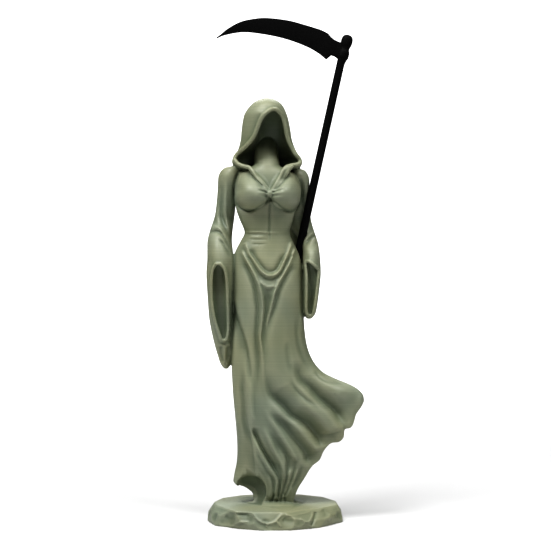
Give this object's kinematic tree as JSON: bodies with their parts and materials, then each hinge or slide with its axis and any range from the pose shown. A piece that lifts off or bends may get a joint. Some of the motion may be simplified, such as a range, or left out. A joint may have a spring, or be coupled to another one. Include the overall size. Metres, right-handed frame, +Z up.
{
  "type": "grim reaper figurine",
  "caption": "Standing figurine of a hooded, robed reaper on a chipped rock base, with a scythe that lifts out of its hip.",
  "frame": {"origin": "middle of the rock base's flat underside", "axes": "+Z up, -Y the way the figure faces, +X its left, the side of the scythe and of the blown train"},
  "size_m": [0.0788, 0.0663, 0.2511],
  "materials": {
    "sage_plastic": "matt printed plastic, sage green, with fine level layer lines",
    "black_plastic": "satin printed plastic, black"
  },
  "bodies": {
    "root": {"robed_figure": "sage_plastic", "scythe": "black_plastic"}
  },
  "joints": []
}
